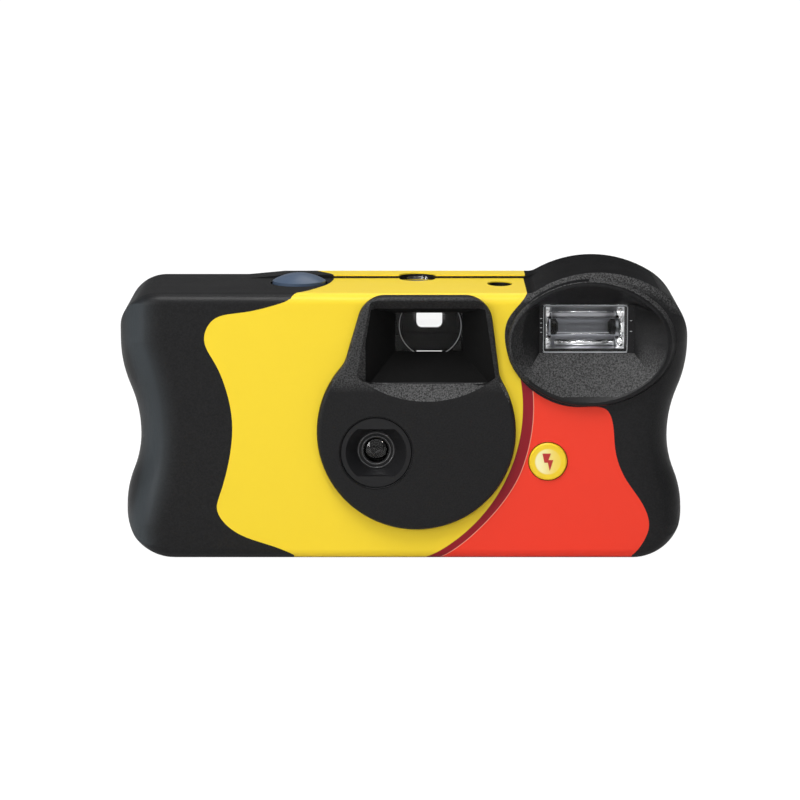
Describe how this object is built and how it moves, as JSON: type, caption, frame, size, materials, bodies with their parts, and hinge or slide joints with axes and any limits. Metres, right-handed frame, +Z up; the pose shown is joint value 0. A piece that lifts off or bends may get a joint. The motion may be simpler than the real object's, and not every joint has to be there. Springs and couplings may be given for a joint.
{
  "type": "single-use film camera",
  "caption": "Single-use film camera with built-in flash: plastic body with a printed label, finder, fixed lens, winding wheel, release button and bottom film door.",
  "frame": {"origin": "middle of the body's width and depth, on the flat base that it stands on", "axes": "+X to the right as the front is seen, -Y out of the lens, +Z up"},
  "size_m": [0.116, 0.034, 0.0592],
  "materials": {
    "cover_black": "satin moulded polystyrene",
    "label_print": "glossy printed film label",
    "inner_black": "matt black moulding",
    "wheel_grey": "satin moulded plastic",
    "clear_plastic": "clear moulded acrylic",
    "shutter_steel": "thin sprung steel",
    "button_blue": "satin slate blue plastic",
    "button_yellow": "glossy yellow plastic",
    "counter_white": "white plastic disc",
    "film_brown": "film base",
    "cartridge_tin": "painted tinplate",
    "reflector_bright": "bright metallised",
    "tube_glass": "clear glass with metal ends",
    "board_green": "coated circuit board",
    "capacitor_black": "sleeved aluminium can",
    "winding_copper": "taped copper winding",
    "battery_skin": "printed steel can",
    "contact_brass": "plated brass strip",
    "lamp_amber": "amber light pipe"
  },
  "bodies": {
    "housing": {"front_cover": "cover_black", "rear_cover": "cover_black", "front_label": "label_print", "rear_label": "label_print", "mainframe": "inner_black", "lens_retainer": "inner_black", "aperture_disc": "inner_black", "finder_tunnel": "inner_black", "front_lens": "clear_plastic", "finder_objective": "clear_plastic", "finder_eyepiece": "clear_plastic", "counter_window": "clear_plastic", "flash_window": "clear_plastic", "cartridge_shell": "cartridge_tin", "film_strip": "film_brown", "flash_contact": "contact_brass", "battery_contacts": "contact_brass", "flash_reflector": "reflector_bright", "flash_tube": "tube_glass", "flash_board": "board_green", "board_parts": "capacitor_black", "flash_capacitor": "capacitor_black", "flash_transformer": "winding_copper", "ready_lamp": "lamp_amber", "battery": "battery_skin"},
    "door": {"cartridge_door": "cover_black"},
    "blade": {"shutter_blade": "shutter_steel"},
    "kicker": {"kick_lever": "shutter_steel"},
    "meter": {"metering_lever": "shutter_steel"},
    "winder": {"advance_wheel": "wheel_grey", "cartridge_spool": "inner_black"},
    "supply": {"supply_spool": "inner_black", "film_roll": "film_brown"},
    "film_sprocket": {"sprocket": "inner_black"},
    "counter": {"counter_disc": "counter_white"},
    "release": {"shutter_button": "button_blue"},
    "charge": {"flash_button": "button_yellow"}
  },
  "joints": [
    {"name": "winding_wheel_turn", "type": "hinge", "parent": "housing", "child": "winder", "pos_m": [-0.038, 0.0024, 0.049], "axis": [0, 0, 1], "continuous": true},
    {"name": "film_sprocket_turn", "type": "hinge", "parent": "housing", "child": "film_sprocket", "pos_m": [-0.018, 0.0079, 0.0381], "axis": [0, 0, 1], "continuous": true},
    {"name": "supply_spool_turn", "type": "hinge", "parent": "housing", "child": "supply", "pos_m": [0.0253, 0.00461, 0.0226], "axis": [0, 0, 1], "continuous": true},
    {"name": "counter_turn", "type": "hinge", "parent": "housing", "child": "counter", "pos_m": [-0.004, 0.0024, 0.0518], "axis": [0, 0, 1], "continuous": true},
    {"name": "release_press", "type": "slide", "parent": "housing", "child": "release", "axis": [0, 0, -1], "range_m": [0, 0.001], "stiffness_N_per_m": 900, "springref_m": -0.0008},
    {"name": "flash_button_press", "type": "slide", "parent": "housing", "child": "charge", "axis": [0, 1, 0], "range_m": [0, 0.0006], "stiffness_N_per_m": 900, "springref_m": -0.0006},
    {"name": "blade_swing", "type": "hinge", "parent": "housing", "child": "blade", "pos_m": [-0.0134, -0.01065, 0.0272], "axis": [0, 1, 0], "range_deg": [0, 35], "stiffness_Nm_per_rad": 0.0005, "springref_deg": -11.46},
    {"name": "kick_lever_swing", "type": "hinge", "parent": "housing", "child": "kicker", "pos_m": [-0.013, -0.0015, 0.0432], "axis": [0, 0, 1], "range_deg": [-18, 0], "stiffness_Nm_per_rad": 0.001, "springref_deg": 11.46},
    {"name": "metering_lever_swing", "type": "hinge", "parent": "housing", "child": "meter", "pos_m": [-0.0194, -0.0044, 0.0448], "axis": [0, 0, 1], "range_deg": [0, 6], "stiffness_Nm_per_rad": 0.001, "springref_deg": -5.73},
    {"name": "cartridge_door_swing", "type": "hinge", "parent": "housing", "child": "door", "pos_m": [-0.038, 0.0127, 0.0012], "axis": [1, 0, 0], "range_deg": [0, 85]}
  ],
  "couplings": [
    {"joint": "film_sprocket_turn", "follows": "winding_wheel_turn", "ratio": 0.77},
    {"joint": "supply_spool_turn", "follows": "winding_wheel_turn", "ratio": 0.51},
    {"joint": "counter_turn", "follows": "winding_wheel_turn", "ratio": -0.01925}
  ]
}
